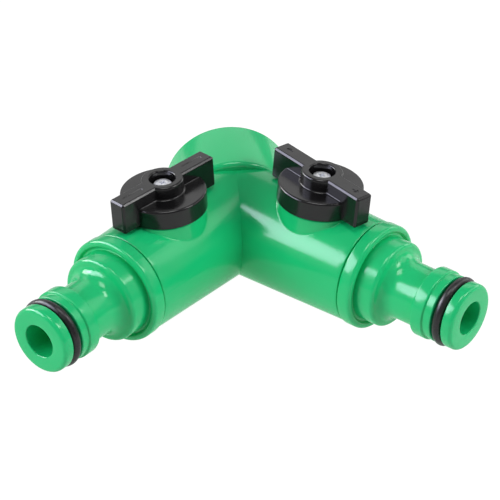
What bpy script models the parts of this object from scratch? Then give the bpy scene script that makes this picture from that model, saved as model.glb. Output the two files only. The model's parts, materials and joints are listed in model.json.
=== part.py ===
"""Two-way hose splitter: a green Y body with a threaded inlet, two quarter-turn
ball valves with winged knobs, and two click-on outlet nipples.  Units: metres.

Working frame: the apex, where the inlet axis (+Y) meets both arm axes, is the
origin while building.  The root empty then moves the bottom centre of the
bounding box to the world origin.
"""
import math

import bmesh
import bpy
from mathutils import Matrix, Vector

MM = 0.001

# ---- driving dimensions -------------------------------------------------
ARM_ANGLE = math.radians(45.0)      # each arm from the inlet axis
ARM_LENGTH = 71.2 * MM              # apex to nipple tip
TUBE_RADIUS_APEX = 14.1 * MM        # moulded tube, drafted toward the tip
TUBE_DRAFT = 0.0274                 # radius lost per unit length
COLLAR_RADIUS = 16.0 * MM
COLLAR_FRONT = -3.1 * MM            # along the inlet axis
COLLAR_BACK = 14.85 * MM
CLEARANCE = 0.3 * MM                # between neighbouring pieces

# inlet thread, G3/4
THREAD_MINOR = 12.06 * MM
THREAD_MAJOR = 13.22 * MM
THREAD_PITCH = 1.814 * MM
SOCKET_DEPTH = 10.95 * MM
WASHER_THICKNESS = 2.5 * MM
WASHER_BORE = 8.6 * MM
JUNCTION_RADIUS = 7.5 * MM
JUNCTION_END = -5.0 * MM

# flow path and valve
BORE_RADIUS = 4.15 * MM
BALL_RADIUS = 7.5 * MM
SEAT_LAND = 2.4 * MM                # chamber radius beyond the ball
SEAT_BACK = 8.8 * MM                # seat back face from the ball centre
SEAT_STEM_GAP = 0.5 * MM            # room for the leaning stem flange between the seats
VALVE_STATION = 25.2 * MM           # apex to ball centre

# outlet connector, lengths measured back from the tip
TIP_RADIUS = 8.3 * MM
FLANGE_BACK = 29.4 * MM
FLANGE_RADIUS = 13.26 * MM
SHOULDER_RADIUS = 11.1 * MM
NECK_RADIUS = 7.3 * MM
RING_RADIUS = 8.6 * MM
TIP_EDGE = 0.85 * MM
RING_SECTION = 1.17 * MM            # outlet O-ring cord radius
RING_CENTRE = 4.35 * MM             # O-ring centre, back from the tip
RING_PROUD = 0.42 * MM              # O-ring above the tip land
SEAL_SECTION = 0.88 * MM            # connector O-ring cord radius
SPIGOT_BORE = 6.4 * MM
BORE_CONE_FRONT = 19.2 * MM         # bore widens from here, back from the tip
BORE_CONE_BACK = 25.2 * MM

# stem, boss and knob; heights run along the stem axis from the arm axis
STEM_LEAN_OUT = math.radians(3.7)   # about the arm axis, away from the other valve
STEM_LEAN_TIP = math.atan(TUBE_DRAFT)
STEM_RADIUS = 3.2 * MM
STEM_FLANGE = 0.8 * MM              # thickness of the retaining flange
STEM_FLANGE_LIP = 0.8 * MM          # how far it stands out from the stem
STEM_SEAL_SECTION = 0.45 * MM       # stem O-ring cord radius
STEM_SEAL_DEPTH = 1.2 * MM          # depth of its groove
TONGUE_HALF_WIDTH = 1.088 * MM      # flat on the stem's foot that turns the ball
TONGUE_INSET = 0.32 * MM            # tongue end inside the stem's round
TONGUE_DEPTH = 1.7725 * MM          # tongue below the ball's crest
SQUARE_SHARE = 0.72                 # square drive's half width as a share of the stem radius
SQUARE_BELOW = 0.6 * MM             # square starts this far below the knob
BOSS_RADIUS = 10.0 * MM
BOSS_RISE = 0.05 * MM               # boss face above the tube crest
KNOB_RADIUS = 10.4 * MM
KNOB_RIM = 4.85 * MM                # disc thickness
KNOB_HEIGHT = 8.2 * MM              # disc underside to hub top
KNOB_WALL = 1.6 * MM
KNOB_POCKET = 3.0 * MM              # depth of the hollow underside
SOCKET_ROOF = 1.7 * MM              # plastic between the square socket and the recess floor
HUB_RADIUS = 5.1 * MM
RECESS_RADIUS = 3.13 * MM
RECESS_DEPTH = 2.9 * MM
BAR_OVERHANG = 4.5 * MM             # bar end beyond the disc
BAR_HALF_WIDTH = 2.45 * MM
BAR_ROUND = 0.45 * MM
KNOB_TURN = {"left": math.radians(-6.5), "right": math.radians(-10.0)}
SCREW_HEAD_RADIUS = 2.15 * MM
SCREW_HEAD_HEIGHT = 1.25 * MM
SCREW_SHANK = 1.2 * MM
SCREW_HOLE_FLOOR = 0.2 * MM         # blind hole floor above the square's foot

# ---- derived dimensions -------------------------------------------------
PARTING = ARM_LENGTH - FLANGE_BACK
TUBE_AT_VALVE = TUBE_RADIUS_APEX - TUBE_DRAFT * VALVE_STATION
CHAMBER_RADIUS = BALL_RADIUS + SEAT_LAND
BOSS_TOP = TUBE_AT_VALVE + BOSS_RISE
KNOB_BASE = BOSS_TOP + CLEARANCE
KNOB_TOP = KNOB_BASE + KNOB_HEIGHT
DISC_TOP = KNOB_BASE + KNOB_RIM
RECESS_FLOOR = KNOB_TOP - RECESS_DEPTH
STEM_FLANGE_BASE = BALL_RADIUS + CLEARANCE
STEM_FLANGE_RADIUS = STEM_RADIUS + STEM_FLANGE_LIP
SEAT_FRONT = STEM_FLANGE_RADIUS + SEAT_STEM_GAP
TONGUE_BASE = BALL_RADIUS - TONGUE_DEPTH
TONGUE_HALF_LENGTH = STEM_RADIUS - TONGUE_INSET
SQUARE_HALF = SQUARE_SHARE * STEM_RADIUS
STEM_SQUARE_BASE = KNOB_BASE - SQUARE_BELOW
SOCKET_TOP = RECESS_FLOOR - SOCKET_ROOF
STEM_TOP = SOCKET_TOP - CLEARANCE

BODY_SEGMENTS = 48
PART_SEGMENTS = 28
FINE_SEGMENTS = 20
KNOB_SEGMENTS = 40


# ---- scene helpers ------------------------------------------------------
def clear_scene():
    for item in list(bpy.data.objects):
        bpy.data.objects.remove(item, do_unlink=True)


def make_material(name, colour, roughness, metallic=0.0):
    material = bpy.data.materials.new(name)
    material.use_nodes = True
    shader = material.node_tree.nodes["Principled BSDF"]
    shader.inputs["Base Color"].default_value = (*colour, 1.0)
    shader.inputs["Roughness"].default_value = roughness
    shader.inputs["Metallic"].default_value = metallic
    return material


def make_empty(name, parent=None, matrix=None):
    empty = bpy.data.objects.new(name, None)
    bpy.context.scene.collection.objects.link(empty)
    empty.parent = parent
    empty.matrix_local = matrix or Matrix.Identity(4)
    return empty


def add_object(name, bm, parent, material=None, smooth=35.0):
    bmesh.ops.recalc_face_normals(bm, faces=bm.faces)
    mesh = bpy.data.meshes.new(name)
    bm.to_mesh(mesh)
    bm.free()
    mesh.shade_smooth()
    mesh.set_sharp_from_angle(angle=math.radians(smooth))
    item = bpy.data.objects.new(name, mesh)
    bpy.context.scene.collection.objects.link(item)
    item.parent = parent
    if material:
        mesh.materials.append(material)
    else:
        item.hide_render = True
        item.display_type = "WIRE"
    return item


def combine(target, other, operation):
    modifier = target.modifiers.new(other.name, "BOOLEAN")
    modifier.operation = operation
    modifier.solver = "EXACT"
    modifier.object = other


# ---- shape helpers ------------------------------------------------------
def revolve(profile, segments, axis="X"):
    """Solid of revolution of a closed (along, radius) outline."""
    bm = bmesh.new()
    direction = {"X": Vector((1, 0, 0)), "Y": Vector((0, 1, 0)), "Z": Vector((0, 0, 1))}[axis]
    radial = {"X": Vector((0, 0, 1)), "Y": Vector((0, 0, 1)), "Z": Vector((1, 0, 0))}[axis]
    verts = [bm.verts.new(direction * along + radial * radius) for along, radius in profile]
    edges = [bm.edges.new((verts[i - 1], verts[i])) for i in range(len(verts))]
    on_axis = [edge for edge in edges if all(v.co.cross(direction).length < 1e-9 for v in edge.verts)]
    for edge in on_axis:
        bm.edges.remove(edge)
    geometry = list(bm.verts) + list(bm.edges)
    bmesh.ops.spin(bm, geom=geometry, axis=direction, cent=(0, 0, 0), steps=segments,
                   angle=math.tau, use_merge=True)
    bmesh.ops.remove_doubles(bm, verts=bm.verts, dist=1e-7)
    centres = [vert for vert in bm.verts if vert.co.cross(direction).length < 1e-9]
    bmesh.ops.dissolve_verts(bm, verts=centres)
    return bm


def circle_profile(along, radius, section, count):
    """Round cord outline centred at (along, radius)."""
    step = math.tau / count
    return [(along + section * math.cos(step * (i + 0.5)),
             radius + section * math.sin(step * (i + 0.5))) for i in range(count)]


def arc(centre_along, centre_radius, radius, start, end, count):
    """Points on an arc; angles in degrees from the along axis."""
    points = []
    for i in range(count + 1):
        angle = math.radians(start + (end - start) * i / count)
        points.append((centre_along + radius * math.cos(angle),
                       centre_radius + radius * math.sin(angle)))
    return points


def add_box(bm, low, high):
    size = [high[i] - low[i] for i in range(3)]
    middle = [(high[i] + low[i]) / 2 for i in range(3)]
    matrix = Matrix.Translation(middle) @ Matrix.Diagonal((*size, 1.0))
    return bmesh.ops.create_cube(bm, size=1.0, matrix=matrix)["verts"]


def arm_matrix(side):
    """Arm frame: +X to the nipple tip, +Z up and leaning out by the stem lean."""
    along = Vector((side * math.sin(ARM_ANGLE), -math.cos(ARM_ANGLE), 0))
    outward = Vector((side * math.cos(ARM_ANGLE), math.sin(ARM_ANGLE), 0))
    up = Vector((0, 0, 1)) * math.cos(STEM_LEAN_OUT) + outward * math.sin(STEM_LEAN_OUT)
    across = up.cross(along)
    return Matrix((along, across, up)).transposed().to_4x4()


def valve_matrix(turn):
    """Valve frame in the arm frame: +Z along the stem axis, +X along the bar."""
    place = Matrix.Translation((VALVE_STATION, 0, 0))
    lean = Matrix.Rotation(STEM_LEAN_TIP, 4, "Y")
    return place @ lean @ Matrix.Rotation(turn, 4, "Z")


# ---- body ---------------------------------------------------------------
def collar_profile():
    edge = 0.8 * MM
    inner = 6.0 * MM
    front = arc(COLLAR_FRONT + edge, COLLAR_RADIUS - edge, edge, 180, 90, 3)
    back = arc(COLLAR_BACK - edge, COLLAR_RADIUS - edge, edge, 90, 0, 3)
    return [(COLLAR_FRONT, inner)] + front + back + [(COLLAR_BACK, inner)]


def tube_profile():
    end = PARTING - CLEARANCE / 2
    edge = 0.25 * MM
    radius = TUBE_RADIUS_APEX - TUBE_DRAFT * end
    return [(0, 0), (0, TUBE_RADIUS_APEX), (end - edge, radius), (end, radius - edge), (end, 0)]


def boss_profile():
    edge = 0.2 * MM
    base = 2.0 * MM
    return [(base, 0), (base, BOSS_RADIUS), (BOSS_TOP - edge, BOSS_RADIUS),
            (BOSS_TOP, BOSS_RADIUS - edge), (BOSS_TOP, 0)]


def flow_profile():
    start = 1.0 * MM
    step = VALVE_STATION - SEAT_BACK - CLEARANCE
    end = PARTING + 2 * MM
    return [(start, 0), (start, BORE_RADIUS), (step, BORE_RADIUS),
            (step, CHAMBER_RADIUS), (end, CHAMBER_RADIUS), (end, 0)]


def inlet_profile():
    floor = COLLAR_BACK - SOCKET_DEPTH
    lead = THREAD_MAJOR - THREAD_MINOR + 0.2 * MM
    beyond = 0.5 * MM
    return [(JUNCTION_END, 0), (JUNCTION_END, JUNCTION_RADIUS), (floor, JUNCTION_RADIUS),
            (floor, THREAD_MINOR), (COLLAR_BACK - lead, THREAD_MINOR),
            (COLLAR_BACK + beyond, THREAD_MINOR + lead + beyond), (COLLAR_BACK + beyond, 0)]


def thread_cutter():
    """Helical groove of the inlet thread, closed at both ends."""
    start = COLLAR_BACK - SOCKET_DEPTH + WASHER_THICKNESS + 2 * CLEARANCE + THREAD_PITCH / 2
    end = COLLAR_BACK + 0.4 * MM
    per_turn = 20
    steps = int((end - start) / THREAD_PITCH * per_turn)
    inner = THREAD_MINOR - 0.25 * MM
    section = [(inner, -0.42), (THREAD_MAJOR, -0.08), (THREAD_MAJOR, 0.08), (inner, 0.42)]
    bm = bmesh.new()
    rings = []
    for i in range(steps + 1):
        angle = math.tau * i / per_turn
        base = start + THREAD_PITCH * i / per_turn
        ring = [bm.verts.new((r * math.sin(angle), base + shift * THREAD_PITCH, r * math.cos(angle)))
                for r, shift in section]
        rings.append(ring)
    for low, high in zip(rings, rings[1:]):
        for k in range(4):
            bm.faces.new((low[k - 1], low[k], high[k], high[k - 1]))
    bm.faces.new(rings[0])
    bm.faces.new(rings[-1])
    return bm


def build_body(root, arms, valves, green):
    body = add_object("splitter_body", revolve(collar_profile(), BODY_SEGMENTS, "Y"), root, green)
    for side in ("left", "right"):
        tube = add_object(side + "_tube_shape", revolve(tube_profile(), BODY_SEGMENTS), arms[side])
        combine(body, tube, "UNION")
        boss_mesh = revolve(boss_profile(), BODY_SEGMENTS, "Z")
        boss = add_object(side + "_boss_shape", boss_mesh, valves[side])
        combine(body, boss, "UNION")
    for side in ("left", "right"):
        flow = add_object(side + "_chamber_cut", revolve(flow_profile(), BODY_SEGMENTS), arms[side])
        combine(body, flow, "DIFFERENCE")
        low, high, radius = CHAMBER_RADIUS - 3 * MM, BOSS_TOP + 2 * MM, STEM_RADIUS + CLEARANCE
        bore = [(low, 0), (low, radius), (high, radius), (high, 0)]
        bore_cut = add_object(side + "_stem_bore_cut", revolve(bore, FINE_SEGMENTS, "Z"), valves[side])
        combine(body, bore_cut, "DIFFERENCE")
    inlet = add_object("inlet_cut", revolve(inlet_profile(), BODY_SEGMENTS, "Y"), root)
    combine(body, inlet, "DIFFERENCE")
    combine(body, add_object("inlet_thread_cut", thread_cutter(), root), "DIFFERENCE")


def build_washer(root, rubber):
    low = COLLAR_BACK - SOCKET_DEPTH + CLEARANCE
    high = low + WASHER_THICKNESS
    outer = THREAD_MINOR - CLEARANCE
    ring = [(low, WASHER_BORE), (low, outer), (high, outer), (high, WASHER_BORE)]
    add_object("inlet_washer", revolve(ring, PART_SEGMENTS, "Y"), root, rubber)


# ---- outlet connector ---------------------------------------------------
def spigot_profile():
    """Buried end that closes the valve chamber, with the seal groove."""
    start = VALVE_STATION + SEAT_BACK + CLEARANCE
    outer = CHAMBER_RADIUS - CLEARANCE
    groove = outer - 2 * SEAL_SECTION - CLEARANCE
    middle = (start + PARTING) / 2
    half = SEAL_SECTION + CLEARANCE
    return [(start, SPIGOT_BORE), (start, outer), (middle - half, outer), (middle - half, groove),
            (middle + half, groove), (middle + half, outer), (PARTING + CLEARANCE / 2, outer)]


def flange_profile():
    start = PARTING + CLEARANCE / 2
    edge = 0.2 * MM
    front = ARM_LENGTH - 25.5 * MM
    fillet = 0.8 * MM
    face = arc(front - fillet, FLANGE_RADIUS - fillet, fillet, 90, 0, 3)
    return [(start, FLANGE_RADIUS - edge), (start + edge, FLANGE_RADIUS)] + face


def shoulder_profile():
    """Tapered shoulder, rounded edge and hollow flare down to the neck."""
    tip = ARM_LENGTH
    steps = [(25.5, 0.0), (21.8, -0.65), (21.3, -0.85), (20.9, -1.2), (20.7, -1.55),
             (20.2, -2.1), (19.2, -2.8), (18.0, -3.4), (16.55, -3.8)]
    return [(tip - back * MM, SHOULDER_RADIUS + drop * MM) for back, drop in steps]


def nipple_profile():
    """Neck, two ribs, O-ring groove and rounded tip."""
    tip = ARM_LENGTH
    edge = 0.2 * MM
    half = RING_SECTION + CLEARANCE
    groove = groove_radius()
    rib = tip - 11.17 * MM
    valley = tip - 8.03 * MM
    back = tip - RING_CENTRE - half
    land = tip - RING_CENTRE + half
    points = [(rib, NECK_RADIUS), (rib, RING_RADIUS - edge), (rib + edge, RING_RADIUS),
              (valley - edge, RING_RADIUS), (valley, TIP_RADIUS - edge), (valley + edge, TIP_RADIUS),
              (back, TIP_RADIUS), (back, groove), (land, groove), (land, TIP_RADIUS)]
    points += arc(tip - TIP_EDGE, TIP_RADIUS - TIP_EDGE, TIP_EDGE, 90, 0, 4)
    return points + [(tip, BORE_RADIUS + edge), (tip - edge, BORE_RADIUS)]


def groove_radius():
    return ring_centre_radius() - RING_SECTION - CLEARANCE


def ring_centre_radius():
    return TIP_RADIUS + RING_PROUD - RING_SECTION


def connector_profile():
    bore = [(ARM_LENGTH - BORE_CONE_FRONT, BORE_RADIUS), (ARM_LENGTH - BORE_CONE_BACK, SPIGOT_BORE)]
    return spigot_profile() + flange_profile() + shoulder_profile() + nipple_profile() + bore


def build_outlet(side, arm, materials):
    connector = revolve(connector_profile(), PART_SEGMENTS)
    add_object(side + "_outlet_connector", connector, arm, materials["green"])
    ring = circle_profile(ARM_LENGTH - RING_CENTRE, ring_centre_radius(), RING_SECTION, 8)
    add_object(side + "_outlet_o_ring", revolve(ring, PART_SEGMENTS), arm, materials["rubber"])
    middle = (VALVE_STATION + SEAT_BACK + CLEARANCE + PARTING) / 2
    seal = circle_profile(middle, CHAMBER_RADIUS - CLEARANCE - SEAL_SECTION, SEAL_SECTION, 6)
    add_object(side + "_connector_seal", revolve(seal, PART_SEGMENTS), arm, materials["rubber"])


# ---- valve --------------------------------------------------------------
def seat_profile(direction):
    """Ring with a hollow spherical face toward the ball; direction is +1 or -1."""
    outer = CHAMBER_RADIUS - CLEARANCE
    inner = BORE_RADIUS + 0.35 * MM
    hollow = BALL_RADIUS + CLEARANCE
    rim = math.sqrt(hollow ** 2 - SEAT_FRONT ** 2)
    points = [(SEAT_BACK, inner), (SEAT_BACK, outer), (SEAT_FRONT, outer), (SEAT_FRONT, rim)]
    first = math.asin(rim / hollow)
    last = math.asin(inner / hollow)
    for i in range(1, 4):
        angle = first + (last - first) * i / 3
        points.append((hollow * math.cos(angle), hollow * math.sin(angle)))
    return [(VALVE_STATION + direction * along, radius) for along, radius in points]


def ball_mesh():
    """Sphere bored through along X."""
    first = math.asin(BORE_RADIUS / BALL_RADIUS)
    count = 10
    points = []
    for i in range(count + 1):
        angle = first + (math.pi - 2 * first) * i / count
        points.append((BALL_RADIUS * math.cos(angle), BALL_RADIUS * math.sin(angle)))
    return revolve(points, FINE_SEGMENTS)


def build_ball(side, valve, plastic):
    ball = add_object(side + "_ball", ball_mesh(), valve, plastic)
    bm = bmesh.new()
    half = TONGUE_HALF_WIDTH + CLEARANCE
    floor = TONGUE_BASE - CLEARANCE
    add_box(bm, (-BALL_RADIUS, -half, floor), (BALL_RADIUS, half, BALL_RADIUS + 1 * MM))
    combine(ball, add_object(side + "_ball_slot_cut", bm, valve), "DIFFERENCE")


def stem_profile():
    flange_top = STEM_FLANGE_BASE + STEM_FLANGE
    groove = STEM_RADIUS - STEM_SEAL_DEPTH
    low, high = stem_groove()
    return [(STEM_FLANGE_BASE, 0), (STEM_FLANGE_BASE, STEM_FLANGE_RADIUS),
            (flange_top, STEM_FLANGE_RADIUS),
            (flange_top, STEM_RADIUS), (low, STEM_RADIUS), (low, groove), (high, groove),
            (high, STEM_RADIUS), (STEM_SQUARE_BASE, STEM_RADIUS), (STEM_SQUARE_BASE, 0)]


def stem_groove():
    middle = (CHAMBER_RADIUS + BOSS_TOP) / 2
    half = STEM_SEAL_SECTION + CLEARANCE
    return middle - half, middle + half


def build_stem(side, valve, materials):
    stem = add_object(side + "_stem", revolve(stem_profile(), FINE_SEGMENTS, "Z"), valve, materials["white"])
    bm = bmesh.new()
    overlap = 0.3 * MM
    length, width = TONGUE_HALF_LENGTH, TONGUE_HALF_WIDTH
    add_box(bm, (-length, -width, TONGUE_BASE), (length, width, STEM_FLANGE_BASE + overlap))
    add_box(bm, (-SQUARE_HALF, -SQUARE_HALF, STEM_SQUARE_BASE - overlap),
            (SQUARE_HALF, SQUARE_HALF, STEM_TOP))
    combine(stem, add_object(side + "_stem_ends_shape", bm, valve), "UNION")
    low, high, radius = STEM_SQUARE_BASE + SCREW_HOLE_FLOOR, STEM_TOP + 1 * MM, SCREW_SHANK + CLEARANCE
    hole = [(low, 0), (low, radius), (high, radius), (high, 0)]
    combine(stem, add_object(side + "_stem_hole_cut", revolve(hole, 16, "Z"), valve), "DIFFERENCE")
    low, high = stem_groove()
    ring = circle_profile((low + high) / 2, STEM_RADIUS - STEM_SEAL_SECTION, STEM_SEAL_SECTION, 6)
    add_object(side + "_stem_o_ring", revolve(ring, FINE_SEGMENTS, "Z"), valve, materials["rubber"])


# ---- knob ---------------------------------------------------------------
def knob_profile():
    """Disc, hub, screw recess and hollow underside in one outline."""
    edge = 0.6 * MM
    small = 0.25 * MM
    inside = KNOB_RADIUS - KNOB_WALL
    pocket = KNOB_BASE + KNOB_POCKET
    hole = SCREW_SHANK + CLEARANCE
    points = [(KNOB_BASE, inside), (KNOB_BASE, KNOB_RADIUS)]
    points += arc(DISC_TOP - edge, KNOB_RADIUS - edge, edge, 90, 0, 3)
    points += [(DISC_TOP, HUB_RADIUS), (KNOB_TOP - small, HUB_RADIUS), (KNOB_TOP, HUB_RADIUS - small),
               (KNOB_TOP, RECESS_RADIUS + small), (KNOB_TOP - small, RECESS_RADIUS),
               (RECESS_FLOOR, RECESS_RADIUS), (RECESS_FLOOR, hole), (KNOB_BASE, hole),
               (KNOB_BASE, HUB_RADIUS), (pocket, HUB_RADIUS), (pocket, inside)]
    return points


def wing_mesh():
    """Two rounded blocks reaching past the disc on either side of the hub."""
    bm = bmesh.new()
    reach = KNOB_RADIUS + BAR_OVERHANG
    inner = (HUB_RADIUS + RECESS_RADIUS) / 2 - 0.3 * MM
    top = KNOB_TOP - 0.1 * MM
    for sign in (1, -1):
        ends = sorted((sign * inner, sign * reach))
        verts = add_box(bm, (ends[0], -BAR_HALF_WIDTH, KNOB_BASE), (ends[1], BAR_HALF_WIDTH, top))
        edges = {edge for vert in verts for edge in vert.link_edges
                 if sum(abs(v.co.x) > reach * 0.9 for v in edge.verts) >= 1}
        bmesh.ops.bevel(bm, geom=list(edges), offset=BAR_ROUND, segments=2, profile=0.5,
                        affect="EDGES", material=-1)
    return bm


def build_knob(side, valve, materials):
    knob = add_object(side + "_knob", revolve(knob_profile(), KNOB_SEGMENTS, "Z"), valve, materials["black"])
    combine(knob, add_object(side + "_wing_shape", wing_mesh(), valve), "UNION")
    bm = bmesh.new()
    half = SQUARE_HALF + CLEARANCE
    add_box(bm, (-half, -half, KNOB_BASE - 1 * MM), (half, half, SOCKET_TOP))
    combine(knob, add_object(side + "_knob_socket_cut", bm, valve), "DIFFERENCE")


def screw_profile():
    low = RECESS_FLOOR + CLEARANCE
    high = low + SCREW_HEAD_HEIGHT
    end = STEM_SQUARE_BASE + SCREW_HOLE_FLOOR + CLEARANCE
    dome = 0.35 * MM
    return [(end, 0), (end, SCREW_SHANK * 0.6), (end + 0.6 * MM, SCREW_SHANK), (low, SCREW_SHANK),
            (low, SCREW_HEAD_RADIUS), (high - dome, SCREW_HEAD_RADIUS),
            (high - dome * 0.3, SCREW_HEAD_RADIUS * 0.8), (high, SCREW_HEAD_RADIUS * 0.4), (high, 0)]


def build_screw(side, valve, steel):
    screw = add_object(side + "_knob_screw", revolve(screw_profile(), FINE_SEGMENTS, "Z"), valve, steel)
    top = RECESS_FLOOR + CLEARANCE + SCREW_HEAD_HEIGHT
    length, width = SCREW_HEAD_RADIUS * 0.66, SCREW_HEAD_RADIUS * 0.16
    corners = [(width, width), (length, width), (length, -width), (width, -width)]
    outline = []
    for quarter in range(4):
        angle = -math.pi / 2 * quarter
        for x, y in corners[:3]:
            outline.append((x * math.cos(angle) - y * math.sin(angle),
                            x * math.sin(angle) + y * math.cos(angle)))
    bm = bmesh.new()
    face = bm.faces.new([bm.verts.new((x, y, top - 0.8 * MM)) for x, y in outline])
    raised = bmesh.ops.extrude_face_region(bm, geom=[face])["geom"]
    moved = [item for item in raised if isinstance(item, bmesh.types.BMVert)]
    bmesh.ops.translate(bm, verts=moved, vec=(0, 0, 1.5 * MM))
    combine(screw, add_object(side + "_cross_cut", bm, valve), "DIFFERENCE")


# ---- assembly -----------------------------------------------------------
def seat_on_floor(root):
    """Move the bottom centre of the bounding box to the world origin."""
    bpy.context.view_layer.update()
    graph = bpy.context.evaluated_depsgraph_get()
    points = []
    for item in bpy.data.objects:
        if item.type == "MESH" and not item.hide_render:
            shown = item.evaluated_get(graph)
            points += [item.matrix_world @ vert.co for vert in shown.data.vertices]
    low = [min(point[i] for point in points) for i in range(3)]
    high = [max(point[i] for point in points) for i in range(3)]
    root.location = (-(low[0] + high[0]) / 2, -(low[1] + high[1]) / 2, -low[2])


def build():
    clear_scene()
    materials = {
        "green": make_material("green_plastic", (0.013, 0.48, 0.17), 0.32),
        "black": make_material("black_plastic", (0.035, 0.034, 0.036), 0.38),
        "rubber": make_material("black_rubber", (0.02, 0.018, 0.02), 0.45),
        "white": make_material("white_acetal", (0.78, 0.78, 0.74), 0.35),
        "steel": make_material("zinc_steel", (0.62, 0.63, 0.66), 0.3, 1.0),
    }
    root = make_empty("assembly")
    arms = {}
    valves = {}
    for side, sign in (("left", -1), ("right", 1)):
        arms[side] = make_empty(side + "_arm_frame", root, arm_matrix(sign))
        valves[side] = make_empty(side + "_valve_frame", arms[side], valve_matrix(KNOB_TURN[side]))
    build_body(root, arms, valves, materials["green"])
    build_washer(root, materials["rubber"])
    for side in ("left", "right"):
        build_outlet(side, arms[side], materials)
        for name, direction in (("_inner_seat", -1), ("_outer_seat", 1)):
            seat = revolve(seat_profile(direction), PART_SEGMENTS)
            add_object(side + name, seat, arms[side], materials["white"])
        build_ball(side, valves[side], materials["white"])
        build_stem(side, valves[side], materials)
        build_knob(side, valves[side], materials)
        build_screw(side, valves[side], materials["steel"])
    seat_on_floor(root)


build()
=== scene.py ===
# %% [markdown]
# # A two-way hose splitter
# The real object screws onto a garden tap and feeds two hoses. It is a green moulded Y body with a
# round inlet collar at the back, two outlet nipples that a hose coupling clicks onto, and two ball
# valves, each turned by a black knob with wings. The solid model already fixes every size and joint.
# This lesson dresses it: it builds finer meshes in the same places and gives them real surfaces.

# %% Load the solid model as a fixed frame
import json
import math

import bmesh
import bpy
from mathutils import Matrix, Vector


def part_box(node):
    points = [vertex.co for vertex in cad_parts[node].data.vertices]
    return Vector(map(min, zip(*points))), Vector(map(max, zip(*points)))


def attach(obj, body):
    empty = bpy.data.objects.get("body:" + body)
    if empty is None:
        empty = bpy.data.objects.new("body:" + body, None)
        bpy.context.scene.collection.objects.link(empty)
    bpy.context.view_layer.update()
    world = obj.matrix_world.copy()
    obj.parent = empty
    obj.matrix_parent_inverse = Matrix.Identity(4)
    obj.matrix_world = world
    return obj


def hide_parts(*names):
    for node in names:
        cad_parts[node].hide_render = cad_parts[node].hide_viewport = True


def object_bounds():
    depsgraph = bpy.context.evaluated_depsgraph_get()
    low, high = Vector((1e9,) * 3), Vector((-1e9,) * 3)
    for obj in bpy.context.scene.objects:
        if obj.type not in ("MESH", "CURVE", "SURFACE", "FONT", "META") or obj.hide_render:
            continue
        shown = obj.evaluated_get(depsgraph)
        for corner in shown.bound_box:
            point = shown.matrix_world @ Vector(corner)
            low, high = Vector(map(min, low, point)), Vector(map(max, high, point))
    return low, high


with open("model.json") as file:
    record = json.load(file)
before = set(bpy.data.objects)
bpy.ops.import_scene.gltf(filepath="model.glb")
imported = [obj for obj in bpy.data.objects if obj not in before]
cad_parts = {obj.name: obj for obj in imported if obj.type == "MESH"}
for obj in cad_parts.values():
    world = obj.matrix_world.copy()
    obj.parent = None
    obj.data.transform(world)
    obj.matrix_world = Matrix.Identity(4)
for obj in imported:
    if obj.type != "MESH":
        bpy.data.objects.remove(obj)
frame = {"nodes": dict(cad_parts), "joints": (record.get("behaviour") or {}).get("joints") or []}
solid_low, solid_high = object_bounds()
MM = 0.001
print("solid model, mm:", [round(size / MM, 1) for size in solid_high - solid_low])

# %% [markdown]
# ## Where everything sits
# A splitter has three axes: the inlet runs along +Y and the two arms leave it at 45 degrees. The
# point where they meet, the apex, is found from the body's own box: it is one collar radius above
# the floor. Each arm gets a frame whose X runs out to the nipple tip, and each valve a frame whose
# Z is the hinge axis of its joint. All meshes are modelled in such a frame and then moved once.

# %% The apex and the arm frames
COLLAR_RADIUS = 16.0 * MM
COLLAR_BACK = 14.85 * MM
ARM_LENGTH = 71.2 * MM
STEM_LEAN = math.radians(3.7)
SIDES = {"left": -1, "right": 1}

body_low, body_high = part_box("splitter_body")
apex = Vector((0, body_high.y - COLLAR_BACK, body_low.z + COLLAR_RADIUS))


def frame_matrix(along, up, origin):
    """Frame with X along, Z close to up, and its origin at a point."""
    side = up.cross(along).normalized()
    axes = Matrix((along, side, along.cross(side))).transposed()
    return Matrix.Translation(origin) @ axes.to_4x4()


arms = {}
for side, sign in SIDES.items():
    along = Vector((sign, -1, 0)).normalized()
    outward = Vector((sign, 1, 0)).normalized()
    up = Vector((0, 0, math.cos(STEM_LEAN))) + outward * math.sin(STEM_LEAN)
    arms[side] = frame_matrix(along, up, apex)
inlet = frame_matrix(Vector((0, 1, 0)), Vector((0, 0, 1)), apex)
print("apex, mm:", [round(value / MM, 2) for value in apex])

# %% [markdown]
# The knobs don't stand quite in line with their arms: each was left a few degrees short of fully
# open. The hinge itself comes from the joint in the solid model, so the visual knob can't drift
# away from the axis that it turns about. Only the small angle is added here.

# %% The valve frames, from the joints
KNOB_TURN = {"left": math.radians(-6.5), "right": math.radians(-10.0)}

valves = {}
for joint in frame["joints"]:
    side = joint["name"].split("_")[0]
    axis = Vector(joint["axis"]).normalized()
    along = arms[side].to_3x3().col[0]
    along = (along - axis * along.dot(axis)).normalized()
    upright = frame_matrix(along, axis, Vector(joint["pos_m"]))
    valves[side] = upright @ Matrix.Rotation(KNOB_TURN[side], 4, "Z")
    print(side, "valve axis", [round(value, 3) for value in axis])

# %% [markdown]
# ## Small helpers
# Nearly every part of a plumbing fitting is turned, so one helper spins an outline about X. Sharp
# corners don't exist on moulded parts, so outlines are written as corner points with a rounding
# radius, and another helper replaces each such corner with an arc. Working this way keeps a profile
# short and makes each fillet one readable number.


# %% Outlines with rounded corners
TOUCHING = 1e-7


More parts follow.
